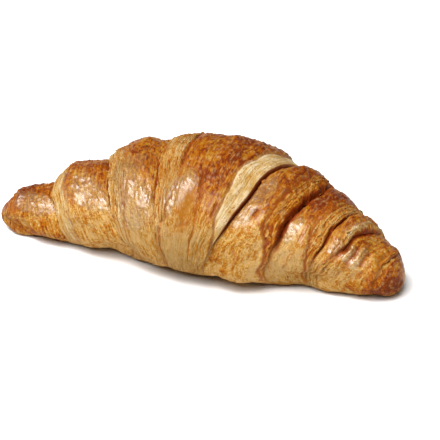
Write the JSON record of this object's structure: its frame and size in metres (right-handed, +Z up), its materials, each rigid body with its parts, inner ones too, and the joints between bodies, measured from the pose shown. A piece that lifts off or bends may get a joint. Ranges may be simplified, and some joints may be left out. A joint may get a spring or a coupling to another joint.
{
  "type": "croissant",
  "caption": "straight baked croissant of rolled layered dough, with stepped wraps, torn layered lips, a pointed central flap, slim rounded tips and a flat underside to rest on",
  "frame": {"origin": "centre of the bounding box in plan, at the flat underside", "axes": "+X along the roll from the slim end to the blunt end, +Y to the back, +Z up; the central flap tucks under at the front, -Y"},
  "size_m": [0.165, 0.0656, 0.0482],
  "materials": {
    "croissant": "golden-brown egg-washed crust, glossy on the raised wraps and matte on the torn bands"
  },
  "bodies": {
    "root": {"croissant": "croissant"}
  },
  "joints": []
}
